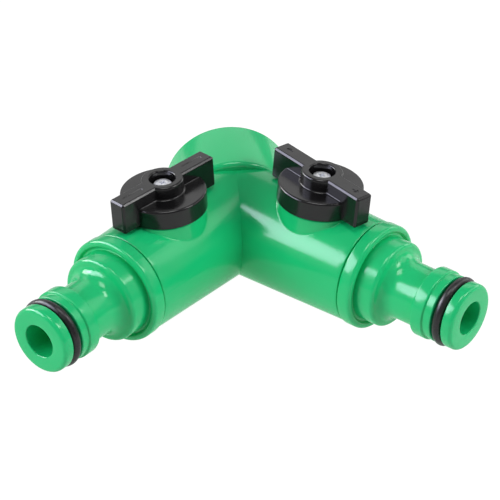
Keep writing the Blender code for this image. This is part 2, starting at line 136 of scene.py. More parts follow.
def rounded(points, steps=6):
    """Outline from (along, radius, rounding) corners; a rounding of 0 keeps the corner."""
    outline = []
    for index, (x, y, radius) in enumerate(points):
        corner = Vector((x, y))
        if radius == 0:
            outline.append(corner)
            continue
        before = Vector(points[index - 1][:2]) - corner
        after = Vector(points[(index + 1) % len(points)][:2]) - corner
        half = before.angle(after) / 2
        reach = radius / math.tan(half)
        start = corner + before.normalized() * reach
        end = corner + after.normalized() * reach
        middle = (before.normalized() + after.normalized()).normalized()
        centre = corner + middle * (radius / math.sin(half))
        first, last = (start - centre).normalized(), (end - centre).normalized()
        for step in range(steps + 1):
            outline.append(centre + first.slerp(last, step / steps) * radius)
    return outline


# %% Extruding and spinning
def extended(bm, face, keep=False):
    """Extrudes one face and returns the new end face; the old one goes unless it is a cap."""
    raised = bmesh.ops.extrude_face_region(bm, geom=[face])["geom"]
    if not keep:
        bmesh.ops.delete(bm, geom=[face], context="FACES_ONLY")
    return next(item for item in raised if isinstance(item, bmesh.types.BMFace))


def turned(outline, segments, matrix):
    """Closed solid from an (along, radius) outline spun about X, placed by a matrix."""
    bm = bmesh.new()
    verts = [bm.verts.new((x, 0, y)) for x, y in outline]
    for index, vert in enumerate(verts):
        before = verts[index - 1]
        if max(vert.co.z, before.co.z) > TOUCHING:
            bm.edges.new((before, vert))
    geometry = list(bm.verts) + list(bm.edges)
    bmesh.ops.spin(bm, geom=geometry, axis=(1, 0, 0), cent=(0, 0, 0), steps=segments,
                   angle=math.tau, use_merge=True)
    bmesh.ops.remove_doubles(bm, verts=bm.verts, dist=TOUCHING)
    poles = [vert for vert in bm.verts if Vector(vert.co.yz).length < TOUCHING]
    bmesh.ops.dissolve_verts(bm, verts=poles)
    bmesh.ops.recalc_face_normals(bm, faces=bm.faces)
    bm.transform(matrix)
    return bm


# %% [markdown]
# ## Joining and cutting
# Where two moulded shapes meet, the real crease is simply where their surfaces cross. Modelling that
# crease by hand would be slow and never exact, and a Boolean finds it. Booleans work on objects, so
# a shape is lent to a scratch object, evaluated, and taken back as a bmesh. The exact solver is used
# because many of the shapes share planes, which the fast one handles badly.


# %% Scratch objects for Boolean work
def scratch(name, bm):
    """A temporary object that holds a bmesh."""
    mesh = bpy.data.meshes.new(name)
    bm.to_mesh(mesh)
    bm.free()
    item = bpy.data.objects.new(name, mesh)
    bpy.context.scene.collection.objects.link(item)
    return item


def combined(base, others, operation):
    """The base bmesh united with, or cut by, other bmeshes, through exact Booleans."""
    item = scratch("base_shape", base)
    helpers = [scratch("other_shape", other) for other in others]
    for helper in helpers:
        modifier = item.modifiers.new("step", "BOOLEAN")
        modifier.operation = operation
        modifier.solver = "EXACT"
        modifier.object = helper
    graph = bpy.context.evaluated_depsgraph_get()
    mesh = bpy.data.meshes.new_from_object(item.evaluated_get(graph))
    result = bmesh.new()
    result.from_mesh(mesh)
    for helper in [item] + helpers:
        bpy.data.meshes.remove(helper.data)
    bpy.data.meshes.remove(mesh)
    return result


# %% [markdown]
# A finished piece needs the same few things each time: smooth shading with its crisp edges kept, a
# material, and the body that carries it when the joints move, and the solid-model node that it
# replaces has to be hidden. One helper does all of them, so none is forgotten.


# %% Turning a bmesh into a finished piece
def finished(name, bm, material, body, node, sharp=32.0):
    """A named, shaded piece that rides on a body and hides the solid-model node it replaces."""
    mesh = bpy.data.meshes.new(name)
    bm.to_mesh(mesh)
    bm.free()
    mesh.shade_smooth()
    mesh.set_sharp_from_angle(angle=math.radians(sharp))
    mesh.materials.append(material)
    piece = bpy.data.objects.new(name, mesh)
    bpy.context.scene.collection.objects.link(piece)
    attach(piece, body)
    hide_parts(node)
    corners = sum(len(face.vertices) - 2 for face in mesh.polygons)
    print(f"{name}: {corners} triangles")
    return piece


# %% [markdown]
# ## Surfaces
# Four finishes cover the object: glossy green plastic, satin black plastic, rubber and zinc-plated
# steel, plus the white bearing plastic inside the valves. Moulded plastic is never one flat value:
# the pigment drifts a little, the gloss changes where the mould was polished, and the skin has a
# fine grain. Painted image maps could carry that, but noise on Object coordinates needs no
# unwrapping and has no seams, so each effect is one noise texture, kept very low.


# %% Node helpers
def new_material(name, roughness, metallic=0.0, specular=0.5):
    """A material with a Principled shader; uniform values sit on its own sockets."""
    material = bpy.data.materials.new(name)
    material.use_nodes = True
    shader = material.node_tree.nodes["Principled BSDF"]
    shader.inputs["Roughness"].default_value = roughness
    shader.inputs["Metallic"].default_value = metallic
    shader.inputs["Specular IOR Level"].default_value = specular
    return material, shader


def noise(tree, scale, detail=3.0):
    """Noise of about 1/scale metres."""
    place = tree.nodes.new("ShaderNodeTexCoord")
    texture = tree.nodes.new("ShaderNodeTexNoise")
    texture.inputs["Scale"].default_value = scale
    texture.inputs["Detail"].default_value = detail
    tree.links.new(place.outputs["Object"], texture.inputs["Vector"])
    return texture.outputs["Fac"]


# %% Turning noise into colour, gloss and relief
def ranged(tree, source, low, high, from_low=0.3, from_high=0.7):
    """A 0 to 1 value moved into a new range."""
    node = tree.nodes.new("ShaderNodeMapRange")
    node.inputs["From Min"].default_value = from_low
    node.inputs["From Max"].default_value = from_high
    node.inputs["To Min"].default_value = low
    node.inputs["To Max"].default_value = high
    tree.links.new(source, node.inputs["Value"])
    return node.outputs["Result"]


def blended(tree, source, first, second):
    """Colour between two colours, led by a 0 to 1 value."""
    ramp = tree.nodes.new("ShaderNodeValToRGB")
    ramp.color_ramp.elements[0].color = (*first, 1)
    ramp.color_ramp.elements[0].position = 0.3
    ramp.color_ramp.elements[1].color = (*second, 1)
    ramp.color_ramp.elements[1].position = 0.7
    tree.links.new(source, ramp.inputs["Fac"])
    return ramp.outputs["Color"]


def bumped(tree, shader, heights):
    """Bump from (height, depth in metres) pairs, added one on another."""
    normal = None
    for height, depth in heights:
        bump = tree.nodes.new("ShaderNodeBump")
        bump.inputs["Strength"].default_value = 1.0
        bump.inputs["Distance"].default_value = depth
        tree.links.new(height, bump.inputs["Height"])
        if normal:
            tree.links.new(normal, bump.inputs["Normal"])
        normal = bump.outputs["Normal"]
    tree.links.new(normal, shader.inputs["Normal"])


# %% [markdown]
# ## Green plastic
# The body and nipples are glossy polypropylene or ABS with a strong green pigment. The left arm has
# fine lengthwise hairlines, as a part gets that slid about in a bin. Modelled scratches would need
# a huge mesh, so they are relief in the material: noise drawn out along the arm, of which only the
# highest crests are kept.


# %% Hairlines along the left arm
LEFT_ARM_TURN = math.radians(-45)
HAIRLINE_STRETCH = 0.012
HAIRLINE_FADE = (-14 * MM, -4 * MM)


def hairlines(tree):
    """Fine lengthwise scuffs: noise drawn out along the left arm, faded out past the middle."""
    place = tree.nodes.new("ShaderNodeTexCoord")
    turn = tree.nodes.new("ShaderNodeMapping")
    turn.inputs["Rotation"].default_value = (0, 0, LEFT_ARM_TURN)
    tree.links.new(place.outputs["Object"], turn.inputs["Vector"])
    drawn = tree.nodes.new("ShaderNodeMapping")
    drawn.inputs["Scale"].default_value = (HAIRLINE_STRETCH, 1.0, 1.0)
    tree.links.new(turn.outputs["Vector"], drawn.inputs["Vector"])
    lines = tree.nodes.new("ShaderNodeTexNoise")
    lines.inputs["Scale"].default_value = 620
    lines.inputs["Detail"].default_value = 1.0
    tree.links.new(drawn.outputs["Vector"], lines.inputs["Vector"])
    few = ranged(tree, lines.outputs["Fac"], 0.0, 1.0, 0.64, 0.70)
    split = tree.nodes.new("ShaderNodeSeparateXYZ")
    tree.links.new(place.outputs["Object"], split.inputs["Vector"])
    left = ranged(tree, split.outputs["X"], 1.0, 0.0, *HAIRLINE_FADE)
    both = tree.nodes.new("ShaderNodeMath")
    both.operation = "MULTIPLY"
    tree.links.new(few, both.inputs[0])
    tree.links.new(left, both.inputs[1])
    return both.outputs["Value"]


# %% Green moulded plastic
def green_plastic(name, deep, light, roughness):
    """Glossy plastic: drifting pigment, uneven gloss, ripple, grain and hairlines."""
    material, shader = new_material(name, roughness)
    tree = material.node_tree
    drift = noise(tree, 45, 2.0)
    tree.links.new(blended(tree, drift, deep, light), shader.inputs["Base Color"])
    gloss = noise(tree, 160, 4.0)
    tree.links.new(ranged(tree, gloss, roughness - 0.03, roughness + 0.04), shader.inputs["Roughness"])
    ripple = noise(tree, 220, 2.0)
    grain = noise(tree, 2600, 2.0)
    scuffs = hairlines(tree)
    bumped(tree, shader, [(ripple, 0.010 * MM), (grain, 0.0015 * MM), (scuffs, 0.02 * MM)])
    return material


green = green_plastic("green_moulded_plastic", (0.0075, 0.50, 0.165), (0.011, 0.555, 0.19), 0.16)
print("made", green.name)

# %% [markdown]
# ## Black plastic
# The knobs are a slightly textured black plastic, less glossy than the body. Black has to be darker
# than it looks, because all that shows is what it mirrors. So the pigment is nearly nothing, and the
# look is in the gloss, which varies, and in shallow sink marks over a fine grain.


# %% Black moulded plastic
def black_plastic(name):
    """Satin plastic with varying gloss, shallow sink marks and grain."""
    material, shader = new_material(name, 0.2)
    tree = material.node_tree
    drift = noise(tree, 120, 3.0)
    tree.links.new(blended(tree, drift, (0.0052, 0.005, 0.0056), (0.0088, 0.0084, 0.0092)),
                   shader.inputs["Base Color"])
    gloss = noise(tree, 260, 5.0)
    tree.links.new(ranged(tree, gloss, 0.14, 0.24), shader.inputs["Roughness"])
    grain = noise(tree, 3200, 3.0)
    sink = noise(tree, 300, 2.0)
    bumped(tree, shader, [(sink, 0.012 * MM), (grain, 0.004 * MM)])
    return material


black = black_plastic("black_moulded_plastic")
print("made", black.name)

# %% [markdown]
# ## Rubber, zinc and bearing plastic
# The rings are soft nitrile rubber with a dull shine, the screws are zinc-plated and a little
# scuffed, and the valve's inner parts are a white bearing plastic. All three are the same recipe
# with other numbers: two close shades, a gloss that varies, and a fine relief.


# %% Rubber, zinc and bearing plastic
def plain_surface(name, deep, light, roughness, metallic=0.0, grain_depth=0.003 * MM, scale=900):
    """Two close shades, uneven gloss and a fine grain."""
    material, shader = new_material(name, roughness, metallic)
    tree = material.node_tree
    shade = blended(tree, noise(tree, scale / 3, 3.0), deep, light)
    tree.links.new(shade, shader.inputs["Base Color"])
    gloss = noise(tree, scale, 4.0)
    tree.links.new(ranged(tree, gloss, roughness - 0.06, roughness + 0.08), shader.inputs["Roughness"])
    bumped(tree, shader, [(noise(tree, scale * 3, 3.0), grain_depth)])
    return material


rubber = plain_surface("black_ring_rubber", (0.010, 0.009, 0.010), (0.018, 0.016, 0.018), 0.3)
zinc = plain_surface("zinc_plated_steel", (0.78, 0.79, 0.82), (0.96, 0.97, 0.99), 0.42, 0.8,
                     0.03 * MM, 1500)
acetal = plain_surface("white_bearing_plastic", (0.74, 0.74, 0.70), (0.82, 0.82, 0.78), 0.35)
for material in (rubber, zinc, acetal):
    print("made", material.name)

# %% [markdown]
# ## The Y body
# The real body is one moulding. Two slightly tapered tubes run into each other and into the collar.
# Where they cross below the knobs the crease is crisp, and on top it fades out, which is exactly
# what a Boolean union of round solids gives. Sculpting or a subdivided cage could come close, but
# would never be so round, and a glossy tube shows every dent in its reflections.

# %% Tube and collar outlines
TUBE_RADIUS = 14.1 * MM
TUBE_DRAFT = 0.0274
FLANGE_BACK = 29.4 * MM
PARTING = ARM_LENGTH - FLANGE_BACK
PARTING_GAP = 0.15 * MM
COLLAR_FRONT = -3.1 * MM
FINE = 176


def tube_radius(along):
    return TUBE_RADIUS - TUBE_DRAFT * along


def tube_outline():
    """Tube with a ring about every millimetre, which keeps its reflections even after the cuts."""
    end = PARTING - PARTING_GAP
    rings = [(along * MM, tube_radius(along * MM), 0) for along in range(0, 41)]
    return rounded([(0, 0, 0)] + rings + [(end, tube_radius(end), 0.3 * MM), (end, 0, 0)])


def collar_outline():
    return rounded([(COLLAR_FRONT, 0, 0), (COLLAR_FRONT, COLLAR_RADIUS, 1.1 * MM),
                    (COLLAR_BACK, COLLAR_RADIUS, 0.9 * MM), (COLLAR_BACK, 0, 0)], 8)


# %% [markdown]
# A flat-topped boss under each knob carries the stem. Its foot blends into the tube with a small
# fillet. A bevel on the finished crease is the usual way, but it breaks up where the crease runs
# nearly flat. So the boss's wall is drawn instead: each ring follows the tube's surface at its own
# height, and flares outward near it.

# %% Where the boss meets the tube
BOSS_RADIUS = 10.0 * MM
BOSS_TOP = 13.46 * MM
BOSS_EDGE = 0.25 * MM
FOOT_FILLET = 0.28 * MM
SEARCH_STEPS = 12


def tube_height(point, to_arm):
    """Height, along the stem, at which a vertical line meets the tube, by repeated approach."""
    height = BOSS_TOP
    for _ in range(SEARCH_STEPS):
        local = to_arm @ Vector((point.x, point.y, height))
        excess = Vector((local.y, local.z)).length - tube_radius(local.x)
        height -= excess * 1.1
    return height


def wall_point(direction, rise, to_arm):
    """Point on the boss's wall at a height above the tube, moved outward by the foot's fillet."""
    gap = max(FOOT_FILLET - max(rise, 0.0), 0.0)
    flare = FOOT_FILLET - math.sqrt(max(FOOT_FILLET ** 2 - gap ** 2, 0.0))
    wall = direction * (BOSS_RADIUS + flare)
    floor = tube_height(wall, to_arm)
    return wall + Vector((0, 0, min(floor + rise, BOSS_TOP - 0.3 * MM)))


# %% The boss, ring by ring
BOSS_SEGMENTS = 144
FOOT_RINGS = [-0.5, 0.0, 0.02, 0.05, 0.09, 0.14, 0.2, 0.28]
TOP_RINGS = [(0.0, BOSS_EDGE), (BOSS_EDGE * 0.3, BOSS_EDGE * 0.3), (BOSS_EDGE, 0.0)]


def boss(side):
    """Upright boss whose wall flares into the tube it stands on, with a rounded top edge."""
    bm = bmesh.new()
    to_arm = arms[side].inverted() @ valves[side]
    start = Matrix.Translation((0, 0, 2.0 * MM))
    bmesh.ops.create_circle(bm, cap_ends=True, segments=BOSS_SEGMENTS, radius=BOSS_RADIUS, matrix=start)
    bm.faces.ensure_lookup_table()
    cap = bm.faces[0]
    for index, rise in enumerate(FOOT_RINGS):
        cap = extended(bm, cap, keep=index == 0)
        for vert in cap.verts:
            direction = Vector((vert.co.x, vert.co.y, 0)).normalized()
            vert.co = wall_point(direction, rise * MM, to_arm)
    for inward, below in TOP_RINGS:
        cap = extended(bm, cap)
        for vert in cap.verts:
            direction = Vector((vert.co.x, vert.co.y, 0)).normalized()
            vert.co = direction * (BOSS_RADIUS - inward) + Vector((0, 0, BOSS_TOP - below))
    bmesh.ops.recalc_face_normals(bm, faces=bm.faces)
    bm.transform(valves[side])
    return bm


# %% [markdown]
# The body is hollow. Water comes through the inlet socket, a bore in each arm leads to the valve
# chamber, and the stem has its own bore up through the boss. Each of these is a turned shape too,
# and all of them are taken away from the body in one step, as cores do in the real mould.

# %% Cutters for the flow path and the stem
CLEARANCE = 0.3 * MM
CHAMBER_RADIUS = 9.9 * MM
BORE_RADIUS = 4.15 * MM
VALVE_STATION = 25.2 * MM
SEAT_BACK = 8.8 * MM
STEM_BORE = 3.5 * MM
UPRIGHT = Matrix.Rotation(math.radians(-90), 4, "Y")


def flow_cutter(side):
    """The water's way along one arm: a bore, then the wide valve chamber, open at the end."""
    step = VALVE_STATION - SEAT_BACK - CLEARANCE
    end = PARTING + 2 * MM
    outline = [(1 * MM, 0, 0), (1 * MM, BORE_RADIUS, 0), (step, BORE_RADIUS, 0),
               (step, CHAMBER_RADIUS, 0), (end, CHAMBER_RADIUS, 0), (end, 0, 0)]
    return turned(rounded(outline), 96, arms[side])


def stem_cutter(side):
    """The stem's bore, from inside the chamber to above the boss."""
    low, high = CHAMBER_RADIUS - 3 * MM, BOSS_TOP + 2 * MM
    outline = [(low, 0, 0), (low, STEM_BORE, 0), (high, STEM_BORE, 0), (high, 0, 0)]
    return turned(rounded(outline), 64, valves[side] @ UPRIGHT)


# %% [markdown]
# Looking in from the back, you see the female pipe thread and the flat washer at the bottom. The
# thread is cut with a helical groove, so that it catches light as a real thread does. Its section
# is swept in small steps, each a turn with a rise, which is how bmesh makes a screw.

# %% Cutters for the inlet socket and its thread
THREAD_MINOR = 12.06 * MM
THREAD_MAJOR = 13.22 * MM
THREAD_PITCH = 1.814 * MM
SOCKET_DEPTH = 10.95 * MM
WASHER = 2.5 * MM
THROAT_RADIUS = 7.5 * MM
THROAT_END = -5 * MM
THREAD_STEPS = 72
THREAD_ROOT = 0.42 * THREAD_PITCH
THREAD_CREST = 0.08 * THREAD_PITCH


def inlet_cutter():
    """The socket with its lead-in cone, and the throat that joins the two bores."""
    floor = COLLAR_BACK - SOCKET_DEPTH
    lead = THREAD_MAJOR - THREAD_MINOR + 0.2 * MM
    beyond = 0.5 * MM
    outline = [(THROAT_END, 0, 0), (THROAT_END, THROAT_RADIUS, 0), (floor, THROAT_RADIUS, 0),
               (floor, THREAD_MINOR, 0), (COLLAR_BACK - lead, THREAD_MINOR, 0),
               (COLLAR_BACK + beyond, THREAD_MINOR + lead + beyond, 0), (COLLAR_BACK + beyond, 0, 0)]
    return turned(rounded(outline), FINE, inlet)


def thread_cutter():
    """A tapered groove section swept round and along the inlet."""
    start = COLLAR_BACK - SOCKET_DEPTH + WASHER + 2 * CLEARANCE + THREAD_PITCH / 2
    turns = (COLLAR_BACK + 0.4 * MM - start) / THREAD_PITCH
    inner = THREAD_MINOR - 0.25 * MM
    bm = bmesh.new()
    section = [(-THREAD_ROOT, inner), (-THREAD_CREST, THREAD_MAJOR), (THREAD_CREST, THREAD_MAJOR),
               (THREAD_ROOT, inner)]
    face = bm.faces.new([bm.verts.new((start + x, 0, y)) for x, y in section])
    turn = Matrix.Rotation(math.tau / THREAD_STEPS, 4, "X")
    step = Matrix.Translation((THREAD_PITCH / THREAD_STEPS, 0, 0)) @ turn
    for index in range(int(turns * THREAD_STEPS)):
        face = extended(bm, face, keep=index == 0)
        bmesh.ops.transform(bm, matrix=step, verts=face.verts)
    bmesh.ops.recalc_face_normals(bm, faces=bm.faces)
    bm.transform(inlet)
    return bm


# %% [markdown]
# With the solids and cutters ready, the body takes two Booleans: one that joins collar, tubes and
# bosses, and one that hollows the result. Doing all joins before any cut keeps each bore clean,
# because no later solid can grow back into it.

# %% The body itself
body_shape = turned(collar_outline(), FINE, inlet)
tubes = [turned(tube_outline(), FINE, arms[side]) for side in SIDES]
body_shape = combined(body_shape, tubes + [boss(side) for side in SIDES], "UNION")
cutters = [cutter(side) for side in SIDES for cutter in (flow_cutter, stem_cutter)]
body_shape = combined(body_shape, cutters + [inlet_cutter(), thread_cutter()], "DIFFERENCE")
finished("y_body_shell", body_shape, green, "body", "splitter_body")

# %% [markdown]
# ## The outlet nipples
# Each nipple plugs into its arm with a sealed spigot. Outside the fine parting line it has a wide
# flange with a soft front rim, a straight shoulder, a flare down to the neck, two ribs, the groove
# that holds the sealing ring, and a rounded tip. It could be stacked from cylinders and joined, but
# it is a single turned shape, so one outline is enough and every fillet in it stays smooth.

# %% The outside of the nipple, measured back from the tip
def back(distance):
    """Place along the arm of a point some millimetres back from the tip."""
    return ARM_LENGTH - distance * MM


def from_tip(rows):
    """Outline corners from (distance back, radius, rounding) rows in millimetres."""
    return [(back(distance), radius * MM, rounding * MM) for distance, radius, rounding in rows]


FLANGE_RADIUS = 13.26 * MM
FLANGE_FRONT = [(back(25.55), FLANGE_RADIUS, 0.95 * MM)] + from_tip([(25.6, 11.9, 0.5), (26.35, 11.4, 0.3)])
SHOULDER = from_tip([(26.45, 10.75, 0.25), (20.95, 10.72, 1.0)])
RIBS = from_tip([(11.55, 7.3, 0.3), (11.4, 8.75, 0.5), (8.15, 8.75, 0.35), (7.95, 8.25, 0.15),
                 (5.85, 8.42, 0.3)])
RING_GROOVE = from_tip([(5.85, 6.05, 0), (2.85, 6.05, 0)])
TIP = from_tip([(2.85, 8.3, 0.25), (0, 8.3, 1.0)])
print("nipple outside:", len(FLANGE_FRONT + SHOULDER + RIBS + RING_GROOVE + TIP), "corners")

# %% The flare from shoulder to neck
FLARE_END = 17.2
FLARE_LENGTH = 3.5
FLARE_RADIUS = 9.75
FLARE_DROP = 2.45
FLARE_STEPS = 12


def flare_points():
    """The hollow flare from the shoulder's edge down to the neck, as a quarter ellipse."""
    points = []
    for step in range(FLARE_STEPS + 1):
        angle = math.radians(90) * step / FLARE_STEPS
        distance = FLARE_END + FLARE_LENGTH * math.cos(angle)
        points.append((back(distance), (FLARE_RADIUS - FLARE_DROP * math.sin(angle)) * MM, 0))
    return points


# %% The spigot, the bore and the whole outline
SPIGOT_BORE = 6.4 * MM
SEAL_GROOVE_HALF = 1.18 * MM
SEAL_GROOVE_DEPTH = 2.06 * MM


def spigot_outline():
    """The buried plug with its seal's groove, up to the flange's back face."""
    start = VALVE_STATION + SEAT_BACK + CLEARANCE
    outer = CHAMBER_RADIUS - CLEARANCE
    middle = (start + PARTING) / 2
    low, high = middle - SEAL_GROOVE_HALF, middle + SEAL_GROOVE_HALF
    bottom = outer - SEAL_GROOVE_DEPTH
    face = PARTING + PARTING_GAP
    return [(start, SPIGOT_BORE, 0), (start, outer, 0), (low, outer, 0), (low, bottom, 0),
            (high, bottom, 0), (high, outer, 0), (face, outer, 0), (face, FLANGE_RADIUS, 0.45 * MM)]


def nipple_outline():
    """The closed outline, from the spigot over the outside and back through the bore."""
    bore = [(back(0), BORE_RADIUS, 0.3 * MM), (back(19.2), BORE_RADIUS, 0), (back(25.2), SPIGOT_BORE, 0)]
    outside = FLANGE_FRONT + SHOULDER + flare_points() + RIBS + RING_GROOVE + TIP
    return rounded(spigot_outline() + outside + bore)


# %% [markdown]
# A rubber ring sits in the groove near the tip and seals the coupling. A torus primitive would do,
# but the same spin helper gives it with the placement already right, so its round section is just
# one more outline.

# %% Nipples and their sealing rings
RING_SECTION = 1.17 * MM
RING_MIDDLE = 7.55 * MM
RING_BACK = 4.35


def ring_bm(matrix, along, radius, section, segments=128, around=20):
    """A round ring of round section."""
    outline = []
    for step in range(around):
        angle = math.tau * step / around
        outline.append(Vector((along + section * math.cos(angle), radius + section * math.sin(angle))))
    return turned(outline, segments, matrix)


for side in SIDES:
    nipple = turned(nipple_outline(), 144, arms[side])
    finished(f"{side}_outlet_nipple", nipple, green, "body", f"{side}_outlet_connector")
    ring = ring_bm(arms[side], back(RING_BACK), RING_MIDDLE, RING_SECTION)
    finished(f"{side}_sealing_ring", ring, rubber, "body", f"{side}_outlet_o_ring")

# %% [markdown]
# The washer in the inlet is a flat rubber ring. It only shows from behind, but it is a real piece
# with softened rims, so it is turned as well.

# %% The inlet washer
WASHER_HOLE = 8.6 * MM
WASHER_RIM = 11.76 * MM
WASHER_EDGE = 0.3 * MM
washer_low = COLLAR_BACK - SOCKET_DEPTH + CLEARANCE
washer_high = washer_low + WASHER
washer_outline = rounded([(washer_low, WASHER_HOLE, WASHER_EDGE), (washer_low, WASHER_RIM, WASHER_EDGE),
                          (washer_high, WASHER_RIM, WASHER_EDGE),
                          (washer_high, WASHER_HOLE, WASHER_EDGE)])
finished("inlet_flat_washer", turned(washer_outline, 128, inlet), rubber, "body", "inlet_washer")

# %% [markdown]
# ## The knobs
# A knob is a thick disc with a hub and a straight bar across it. The bar's ends drop down to the
# disc's underside as solid blocks. What sells it is its edges: each one is softened and catches a
# thin line of light. Rounding the finished union with a Bevel modifier folds over itself where
# the disc's rim runs into the bar, so each part is softened first and joined afterwards: the disc
# with its hub is turned from one outline, the bar is a block with all its edges bevelled, and the
# inner corner along the bar gets a small hollow skirt.

# %% Knob dimensions
KNOB_BASE = 13.76 * MM
KNOB_TOP = 21.96 * MM
DISC_TOP = 18.61 * MM
DISC_RADIUS = 10.4 * MM
HUB_RADIUS = 5.1 * MM
RECESS_RADIUS = 3.13 * MM
RECESS_FLOOR = 19.06 * MM
BAR_REACH = 14.9 * MM
BAR_HALF = 2.45 * MM
BAR_EDGE = 0.5 * MM
SKIRT = 0.4 * MM
POCKET_TOP = KNOB_BASE + 3.0 * MM
SOCKET_HALF = 2.604 * MM
SOCKET_TOP = 17.36 * MM
OVERSHOOT = 1 * MM
print("knob, mm:", round(2 * BAR_REACH / MM, 1), "across,", round((KNOB_TOP - KNOB_BASE) / MM, 1), "high")


# %% Plain shapes for the knob
def upright_cylinder(radius, low, high, segments):
    """Plain cylinder about the stem axis."""
    bm = bmesh.new()
    place = Matrix.Translation((0, 0, (low + high) / 2))
    bmesh.ops.create_cone(bm, cap_ends=True, segments=segments, radius1=radius, radius2=radius,
                          depth=high - low, matrix=place)
    return bm


def block(half_x, half_y, low, high, centre_x=0.0, rounding=0.0):
    """Box along the bar; a rounding flattens its edges and then softens both new corners."""
    bm = bmesh.new()
    size = Matrix.Diagonal((2 * half_x, 2 * half_y, high - low, 1))
    place = Matrix.Translation((centre_x, 0, (low + high) / 2))
    bmesh.ops.create_cube(bm, size=1.0, matrix=place @ size)
    if rounding:
        bmesh.ops.bevel(bm, geom=bm.edges, offset=rounding, segments=1, profile=0.5,
                        affect="EDGES", material=-1)
        bmesh.ops.bevel(bm, geom=bm.edges, offset=rounding / 4, segments=3, profile=0.5,
                        affect="EDGES", material=-1)
    return bm


# %% The knob's disc and recess
DISC_EDGE = 0.55 * MM
HUB_EDGE = 0.6 * MM
RECESS_LIP = 0.4 * MM
LIP_STEPS = 6


def disc_and_hub():
    """Disc and hub in one turned shape, with a hollow fillet between them."""
    outline = rounded([(KNOB_BASE, 0, 0), (KNOB_BASE, DISC_RADIUS, 0.25 * MM),
                       (DISC_TOP, DISC_RADIUS, DISC_EDGE), (DISC_TOP, HUB_RADIUS, SKIRT),
                       (KNOB_TOP, HUB_RADIUS, HUB_EDGE), (KNOB_TOP, 0, 0)])
    return turned(outline, 128, UPRIGHT)


def recess_cutter():
    """Cutter for the screw's recess, which flares at the top so that the rim is rounded."""
    lip = RECESS_LIP
    flare = []
    for step in range(1, LIP_STEPS):
        angle = math.radians(90) * step / LIP_STEPS
        height = KNOB_TOP - lip + lip * math.sin(angle)
        flare.append((height, RECESS_RADIUS + lip - lip * math.cos(angle), 0))
    well = [(RECESS_FLOOR, 0, 0), (RECESS_FLOOR, RECESS_RADIUS, 0.3 * MM),
            (KNOB_TOP - lip, RECESS_RADIUS, 0)]
    mouth = [(KNOB_TOP, RECESS_RADIUS + lip, 0), (KNOB_TOP + OVERSHOOT, RECESS_RADIUS + lip, 0),
             (KNOB_TOP + OVERSHOOT, 0, 0)]
    return turned(rounded(well + flare + mouth), 96, UPRIGHT)


# %% The hollow skirt beside the bar
SKIRT_STEPS = 6
SKIRT_REACH = 9.35 * MM


def skirt():
    """Hollow fillet along both sides of the bar, where it stands on the disc."""
    wide = BAR_HALF + SKIRT
    side_points = []
    for step in range(SKIRT_STEPS + 1):
        angle = math.radians(90) * step / SKIRT_STEPS
        side_points.append((wide - SKIRT * math.sin(angle), DISC_TOP + SKIRT * (1 - math.cos(angle))))
    section = [(wide, DISC_TOP - 0.1 * MM)] + side_points
    section += [(-across, height) for across, height in reversed(section)]
    bm = bmesh.new()
    face = bm.faces.new([bm.verts.new((-SKIRT_REACH, across, height)) for across, height in section])
    end = extended(bm, face, keep=True)
    bmesh.ops.translate(bm, verts=end.verts, vec=(2 * SKIRT_REACH, 0, 0))
    bmesh.ops.recalc_face_normals(bm, faces=bm.faces)
    return bm


# %% [markdown]
# The wings carry shallow moulded marks: a long strip on the left knob, a small arrow at each end on
# the right one. Relief in the material would do for so little depth, but a real cut gives the marks
# true walls that shade correctly from every side.

# %% Marks on the wings
MARK_FLOOR = KNOB_TOP - 0.14 * MM
MARK_CEILING = KNOB_TOP + OVERSHOOT
LINE_HALF = 0.16 * MM
BARB_TURN = 35


def strip_mark(end):
    """Long strip on one wing."""
    return [block(3.1 * MM, 0.42 * MM, MARK_FLOOR, MARK_CEILING, end * 9.6 * MM, 0.12 * MM)]


def arrow_mark(end):
    """Small arrow on one wing: a shaft and two barbs."""
    marks = [block(0.9 * MM, LINE_HALF, MARK_FLOOR, MARK_CEILING, end * 11.4 * MM)]
    point = Matrix.Translation((end * 12.4 * MM, 0, 0))
    for turn in (-BARB_TURN, BARB_TURN):
        barb = block(0.6 * MM, LINE_HALF, MARK_FLOOR, MARK_CEILING, -0.5 * MM * end)
        barb.transform(point @ Matrix.Rotation(math.radians(turn), 4, "Z"))
        marks.append(barb)
    return marks


def wing_marks(side):
    """Cutters for the marks on both wings of one knob."""
    mark = strip_mark if side == "left" else arrow_mark
    return mark(-1) + mark(1)


# %% [markdown]
# Underneath, a knob is hollow: a round pocket leaves a thin outer wall and a core in the middle, and
# the core has a square socket that grips the stem. These cuts come last, together with the screw's
# recess and its hole, so that nothing fills them again.

# %% Join the knob's parts and cut it
KNOB_WALL = 1.6 * MM
SCREW_HOLE = 1.5 * MM


def knob_bm(side):
    """One knob in the valve's own frame."""
    bar = block(BAR_REACH, BAR_HALF, KNOB_BASE, KNOB_TOP, rounding=BAR_EDGE)
    knob = combined(disc_and_hub(), [bar, skirt()], "UNION")
    pocket = upright_cylinder(DISC_RADIUS - KNOB_WALL, KNOB_BASE - OVERSHOOT, POCKET_TOP, 64)
    core = upright_cylinder(HUB_RADIUS, KNOB_BASE - 2 * OVERSHOOT, POCKET_TOP + OVERSHOOT, 64)
    pocket = combined(pocket, [core], "DIFFERENCE")
    socket = block(SOCKET_HALF, SOCKET_HALF, KNOB_BASE - OVERSHOOT, SOCKET_TOP)
    hole = upright_cylinder(SCREW_HOLE, SOCKET_TOP - OVERSHOOT, RECESS_FLOOR + OVERSHOOT, 32)
    cutters = [recess_cutter(), pocket, socket, hole] + wing_marks(side)
    return combined(knob, cutters, "DIFFERENCE")


# %% The two knobs
KNOB_SHARP = 40

